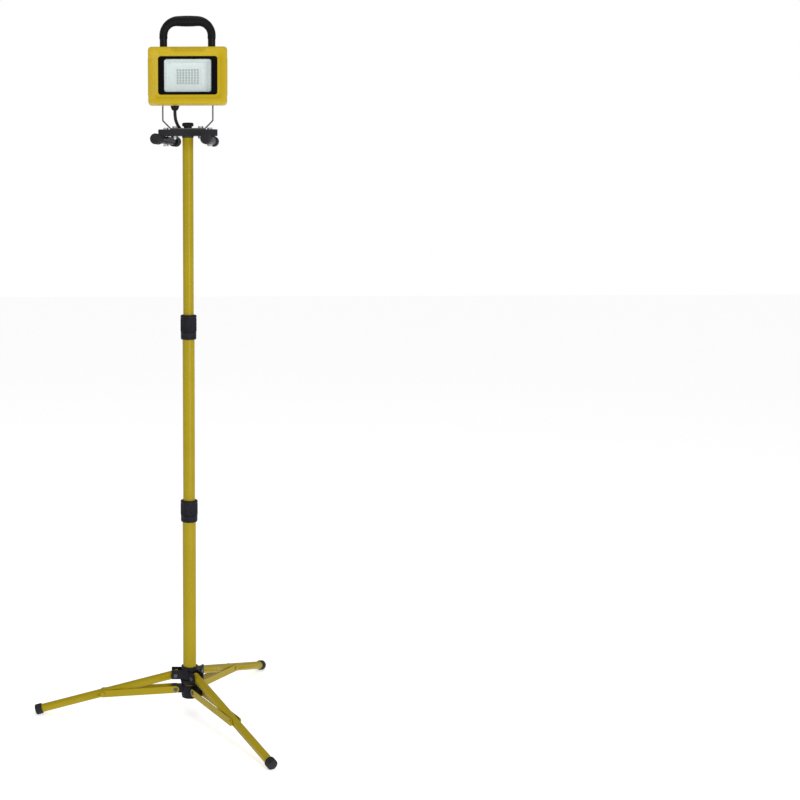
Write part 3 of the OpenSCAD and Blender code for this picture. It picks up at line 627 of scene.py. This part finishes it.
def handle_path():
    """The handle's centre line: up one leg, round the corner, along the bar and down again."""
    turn_x, turn_z = -leg_x + CORNER, bar_z - CORNER
    found = [Vector((-leg_x, handle_y, grip_low.z + (turn_z - grip_low.z) * k / LEG_STEPS))
             for k in range(LEG_STEPS)]
    for k in range(CORNER_STEPS + 1):
        a = math.radians(180 - 90 * k / CORNER_STEPS)
        found.append(Vector((turn_x + CORNER * math.cos(a), handle_y, turn_z + CORNER * math.sin(a))))
    mirrored = [Vector((-p.x, p.y, p.z)) for p in reversed(found)]
    found += [Vector((turn_x - 2 * turn_x * k / BAR_STEPS, handle_y, bar_z)) for k in range(1, BAR_STEPS)]
    found += mirrored
    fine = []
    for a, b in zip(found, found[1:]):
        fine += [a, a.lerp(b, 0.5)]
    return fine + [found[-1]]


grip_path = handle_path()
travelled = [0.0]
for a, b in zip(grip_path, grip_path[1:]):
    travelled.append(travelled[-1] + (b - a).length)


def grip_section(i):
    """Swollen and grooved lengthwise over the bar, ringed at both ends."""
    x = abs(grip_path[i].x)
    swell = max(0.0, math.cos(min(1.0, x / (leg_x - 6)) * math.pi / 2)) ** 1.4
    radius = sleeve_r + (grip_r - sleeve_r) * swell
    from_end = min(travelled[i], travelled[-1] - travelled[i])
    if 2.0 < from_end < END_BAND:
        radius -= 0.45 * (0.5 + 0.5 * math.cos(from_end * 2 * math.pi / 4.0)) ** 2
    if from_end < 1.4:
        radius -= 0.55 * (1 - from_end / 1.4)
    lengthwise = max(0.0, min(1.0, (leg_x - 22 - x) / 6))
    points = []
    for k in range(GRIP_SIDES):
        a = 2 * math.pi * k / GRIP_SIDES
        r = radius - 0.55 * lengthwise * (0.5 + 0.5 * math.cos(12 * a)) ** 3
        points.append((r * math.cos(a), r * math.sin(a)))
    return points


grip = Shape()
grip.rings(sweep_rings(grip_path, grip_section))
grip.piece("grip_sleeve", "head", GRIP_RUBBER, ("handle_grip",), 60)

# cable gland's dome nut
GLAND_BORE = 3.7
gland_low, gland_high = box_mm("gland_cap")
gland_mid = (gland_low + gland_high) / 2
tip, top = gland_low.z, gland_high.z
gland = Shape()
gland.lathe([(GLAND_BORE, top), (9.0, top), (9.7, top - 0.6, 1), (9.7, tip + 10, 1), (9.3, tip + 7.6, 1),
             (8.5, tip + 5, 0.6), (7.4, tip + 2.7, 0.2), (6.3, tip + 0.9), (5.6, tip + 0.1), (4.4, tip),
             (GLAND_BORE, tip + 0.4)],
            Matrix.Translation((gland_mid.x, gland_mid.y, 0)), 96, flutes(12, 0.9, 3), loop=True)
gland.piece("gland_dome_nut", "head", PLASTIC, ("gland_cap",))


def screw_head(shape, place, radius, height):
    """Pan head with a cross recess, standing along local +Z."""
    dome = ((1, 0), (1, 0.35), (0.9, 0.75), (0.62, 0.97), (0.4, 1))
    shape.lathe([(radius * r, height * h) for r, h in dome], place, 40)
    for turn in (0, 90):
        spin = place @ Matrix.Rotation(math.radians(turn), 4, "Z")
        shape.box((-radius * 0.55, -0.35, height - 0.2), (radius * 0.55, 0.35, height + 0.04), 0.05, spin)


FLANGE_T = 3.05
SCREW_R = 3.6
screws = Shape()
screw_back = box_mm("housing_screws")[1].y
for x, z in SCREWS:
    screw_head(screws, along((0, 1, 0), (x, BACK + FLANGE_T, z)), SCREW_R, screw_back - BACK - FLANGE_T)
screws.piece("housing_screw_heads", "head", ZINC, ("housing_screws",))
soften("tilt_bolts", 0.6, ZINC)

# ---------------------------------------------------------------- small stand

soften("u_bracket", 0.5, BRACKET)
soften("crossbar", 0.9, BAR_BLACK, 3)
soften("crossbar_caps", 0.8, RUBBER, 3)
soften("bracket_bolts", 0.6, ZINC)
soften("foot_bolts", 0.6, ZINC)
soften("foot_left_tube", 0.0, BAR_BLACK)
soften("foot_right_tube", 0.0, BAR_BLACK)
soften("swivel_washer", 0.3, NYLON)


FOOT_SKEW = {"left": 17, "right": 8}
FOOT_HALF = 78
FOOT_BORE = 8.55
FOOT_CAP_R = 11.5
GRIP_FROM, GRIP_TO = 54, 72


def foot_caps(side):
    """A fluted cap on each end of one foot tube."""
    low, high = box_mm(f"foot_{side}_tube")
    shape = Shape()
    for turn in (0, 180):
        place = (Matrix.Translation((low + high) / 2)
                 @ Matrix.Rotation(math.radians(turn - FOOT_SKEW[side]), 4, "Z")
                 @ Matrix.Rotation(math.radians(-90), 4, "X"))
        shape.lathe([(FOOT_BORE, 52.3), (FOOT_CAP_R - 0.7, 52), (FOOT_CAP_R - 0.1, 52.8),
                     (FOOT_CAP_R, GRIP_FROM, 0), (FOOT_CAP_R, GRIP_FROM + 1, 1),
                     (FOOT_CAP_R, GRIP_TO - 1, 1), (FOOT_CAP_R, GRIP_TO, 0),
                     (FOOT_CAP_R, 75.2), (FOOT_CAP_R - 0.4, 76.8), (FOOT_CAP_R - 1.3, 77.7),
                     (8.5, FOOT_HALF), (5, FOOT_HALF), (4.6, FOOT_HALF - 0.7), (0.4, FOOT_HALF - 0.7)],
                    place, 96, flutes(16, 0.9, 2))
    shape.piece(f"{side}_foot_caps", f"{side}_foot", RUBBER, (f"foot_{side}_caps",))


foot_caps("left")
foot_caps("right")

# clamp knob and its stud
KNOB_R = 12.5
THREAD_PITCH = 1.25
THREAD_R, ROOT_R = 3.95, 3.5
knob_low, knob_high = box_mm("clamp_knob")
top = knob_high.z
knob = Shape()
knob.lathe([(4.2, top - 11.3), (8.2, top - 11.3), (8.9, top - 10.8), (9.0, top - 9), (9.0, top - 8.2),
            (KNOB_R - 1.3, top - 7.9), (KNOB_R - 0.3, top - 7.3), (KNOB_R, top - 6.2, 1),
            (KNOB_R, top - 2.4, 1), (KNOB_R - 0.4, top - 1.2, 0.8), (KNOB_R - 1.4, top - 0.4, 0.3),
            (9.8, top), (7.6, top - 0.2), (7.0, top - 0.9), (0.5, top - 0.9)],
           None, 128, flutes(16, 1.3, 2.5))
knob.piece("clamp_knob_grip", "knob", KNOB_PLASTIC, ("clamp_knob",))
stud = Shape()
thread = [(1.5, knob_low.z)]
z = knob_low.z + 0.6
while z < top - 12.4:
    thread += [(THREAD_R, z), (ROOT_R, z + 0.6)]
    z += THREAD_PITCH
stud.lathe(thread + [(3.9, top - 11.8), (3.9, top - 10)], None, 32)
stud.piece("clamp_stud", "knob", ZINC)

# ---------------------------------------------------------------- mast

for tube in ("top_tube", "middle_tube", "bottom_tube"):
    soften(tube, 0.0, TUBE_YELLOW)
soften("top_plug", 0.4, PLASTIC)
soften("top_bush", 0.3, PLASTIC)
soften("middle_bush", 0.3, PLASTIC)
soften("upper_collet", 0.3, COLLET)
soften("lower_collet", 0.3, COLLET)
soften("mast_end_cap", 0.8, PLASTIC)


def radius_of(node):
    low, high = box_mm(node)
    return (high.x - low.x) / 2


def twist_lock(tag, body_base, body_nut, outer_tube, inner_tube):
    """A ribbed sleeve on the outer tube and the ribbed grip nut over it."""
    base_low, base_high = box_mm(tag + "_lock_base")
    nut_low, nut_high = box_mm(tag + "_lock_nut")
    z0, z1, n0, n1 = base_low.z, base_high.z, nut_low.z, nut_high.z
    r, sleeve_r = radius_of(tag + "_lock_nut"), radius_of(tag + "_lock_base")
    tube_r, bore = radius_of(outer_tube) + 0.05, radius_of(inner_tube) + 0.3
    top = n0 - 0.3
    base = Shape()
    base.lathe([(tube_r, z0), (sleeve_r - 1.6, z0), (sleeve_r - 0.9, z0 + 0.5), (sleeve_r - 0.3, z0 + 1.6),
                (sleeve_r - 0.2, z0 + 3), (sleeve_r, z0 + 3.4, 0), (sleeve_r, z0 + 4.2, 1),
                (sleeve_r, top - 3.2, 1), (sleeve_r, top - 2.4, 0), (sleeve_r, top - 0.6),
                (sleeve_r - 0.6, top), (r - 2.4, top), (r - 2.4, z1), (tube_r, z1)],
               None, 144, ribs(24, 0.55, 2), loop=True)
    base.piece(tag + "_lock_sleeve", body_base, PLASTIC, (tag + "_lock_base",))
    nut = Shape()
    cavity = n1 - 0.2 * (n1 - z0) - 0.1
    nut.lathe([(r - 2, n0), (r - 0.9, n0), (r - 0.2, n0 + 0.6), (r, n0 + 1.6), (r, n0 + 2.6, 0),
               (r, n0 + 3.6, 1), (r, n1 - 9.5, 1), (r, n1 - 8.5, 0), (r, n1 - 7.6), (r - 0.5, n1 - 6.8),
               (r - 0.5, n1 - 6.0), (r, n1 - 5.2), (r, n1 - 2.2), (r - 0.7, n1 - 0.8), (r - 2, n1),
               (bore + 0.8, n1), (bore, n1 - 0.6), (bore, cavity), (r - 2, cavity)],
              None, 192, ribs(30, 0.8, 2), loop=True)
    nut.piece(tag + "_lock_grip", body_nut, PLASTIC, (tag + "_lock_nut",))


twist_lock("upper", "middle", "upper_lock", "middle_tube", "top_tube")
twist_lock("lower", "mast", "lower_lock", "bottom_tube", "middle_tube")

# ---------------------------------------------------------------- tripod

soften("leg_hub", 0.9, PLASTIC, 3)
soften("brace_hub", 0.9, PLASTIC, 3)
soften("leg_hub_pins", 0.9, PIN_STEEL, 3)
soften("brace_hub_pins", 0.9, PIN_STEEL, 3)

# fluted nut that locks the slider
lock_low, lock_high = box_mm("hub_lock_nut")
low, top = lock_low.z, lock_high.z
bore = radius_of("bottom_tube") + 0.3
lock_r = radius_of("hub_lock_nut")
lock = Shape()
lock.lathe([(bore, low), (lock_r - 3.6, low), (lock_r - 2.6, low + 0.5), (lock_r - 2.2, low + 1.4, 0.4),
            (lock_r - 0.6, top - 2.4, 1), (lock_r, top - 1.4, 1), (lock_r - 0.1, top - 0.6, 0.5),
            (lock_r - 0.9, top), (lock_r - 4.6, top), (lock_r - 4.8, low + 2), (bore, low + 2)],
           None, 144, flutes(18, 1.1, 2), loop=True)
lock.piece("slider_lock_grip", "slider_lock", PLASTIC, ("hub_lock_nut",))

# legs: a foot cap on each, and the two rivet ends that hold the brace's strips to it
LEG_L = 338.0
LEG_SLOPE = 15.075
CAP_L = 16
LEG_CAP_R = 12
BRACE_BOLT_AT = 175
FLOOR_GAP = 0.02
JOINTS = {j["name"]: j for j in frame["record"]["behaviour"]["joints"]}
UP = Vector((0, 0, 1))


def leg_details(number, letter):
    hinge = JOINTS[f"leg_{letter}_fold"]
    pivot, axis = mast_mm(Vector(hinge["pos_m"])), Vector(hinge["axis"])
    slope = math.radians(LEG_SLOPE)
    down = (axis.cross(UP).normalized() * math.cos(slope) - UP * math.sin(slope)).normalized()
    cap = Shape()
    cap.lathe([(9.55, LEG_L - CAP_L - 0.2), (LEG_CAP_R - 1, LEG_L - CAP_L), (LEG_CAP_R - 0.3, LEG_L - 15.2),
               (LEG_CAP_R, LEG_L - 14, 0), (LEG_CAP_R, LEG_L - 13, 1), (LEG_CAP_R, LEG_L - 5, 1),
               (LEG_CAP_R, LEG_L - 4, 0), (LEG_CAP_R - 0.1, LEG_L - 2.2), (LEG_CAP_R - 0.7, LEG_L - 0.8),
               (10, LEG_L - 0.1), (7, LEG_L), (0.4, LEG_L)],
              along(down, pivot), 96, flutes(16, 0.8, 2))
    cap.points = [Vector((p.x, p.y, max(p.z, FLOOR_GAP))) for p in cap.points]
    cap.piece(f"leg_foot_{number}", f"leg_{letter}", RUBBER, (f"leg_cap_{number}",))
    bolts = Shape()
    for side in (-1, 1):
        bolts.lathe([(4.6, 11.65), (4.6, 12.4), (4.2, 13.3), (3.1, 14.0), (1.5, 14.3), (0.3, 14.35)],
                    along(axis * side, pivot + down * BRACE_BOLT_AT), 40)
    bolts.piece(f"brace_rivets_{number}", f"brace_{letter}", PIN_STEEL)


for number, letter in ((1, "a"), (2, "b"), (3, "c")):
    soften(f"leg_{number}", 0.0, TUBE_YELLOW)
    soften(f"brace_{number}", 0.5, TUBE_YELLOW)
    leg_details(number, letter)

# ---------------------------------------------------------------- studio

def studio_surface(name, colour):
    material, tree, shader = new_material(name)
    coords = tree.nodes.new("ShaderNodeTexCoord").outputs["Object"]
    clouds = noise(tree, coords, 1.5, 3.0)
    tree.links.new(blend_colour(tree, clouds, shade(colour, 0.985), colour), shader.inputs["Base Color"])
    shader.inputs["Roughness"].default_value = 0.9
    shader.inputs["Specular IOR Level"].default_value = 0.0
    shader.inputs["Emission Color"].default_value = (1, 1, 1, 1)
    shader.inputs["Emission Strength"].default_value = 0.5
    return material


FLOOR_HALF, FLOOR_Z = 14, -0.0006
floor_mesh = bpy.data.meshes.new("studio_floor")
corners = [(x * FLOOR_HALF, y * FLOOR_HALF, FLOOR_Z) for x, y in ((-1, -1), (1, -1), (1, 1), (-1, 1))]
floor_mesh.from_pydata(corners, [], [(0, 1, 2, 3)])
floor = bpy.data.objects.new("studio_floor", floor_mesh)
bpy.context.scene.collection.objects.link(floor)
floor_mesh.materials.append(studio_surface("studio_paper", (0.94, 0.94, 0.94)))

world = bpy.data.worlds.new("studio_world")
bpy.context.scene.world = world
world.use_nodes = True
sky = world.node_tree.nodes["Background"]
sky.inputs["Color"].default_value = (1, 1, 1, 1)
seen = world.node_tree.nodes.new("ShaderNodeLightPath").outputs["Is Camera Ray"]
world.node_tree.links.new(remap(world.node_tree, seen, 0, 1, 0.5, 1.0), sky.inputs["Strength"])


def area_light(name, spot, target, size, power):
    """A rectangular light that faces its target; places in metres, power in watts."""
    data = bpy.data.lights.new(name, "AREA")
    data.shape = "RECTANGLE"
    data.size, data.size_y = size
    data.energy = power
    light = bpy.data.objects.new(name, data)
    bpy.context.scene.collection.objects.link(light)
    light.location = spot
    light.rotation_mode = "QUATERNION"
    light.rotation_quaternion = (Vector(target) - Vector(spot)).to_track_quat("-Z", "Y")


area_light("key_strip", (1.3, -2.6, 1.0), (0, 0, 0.85), (0.45, 2.2), 40)
area_light("fill_softbox", (-2.4, -1.6, 1.4), (0, 0, 0.8), (1.4, 1.4), 8)
area_light("top_softbox", (0.2, 0.2, 3.2), (0, 0, 1.0), (1.6, 1.6), 13)
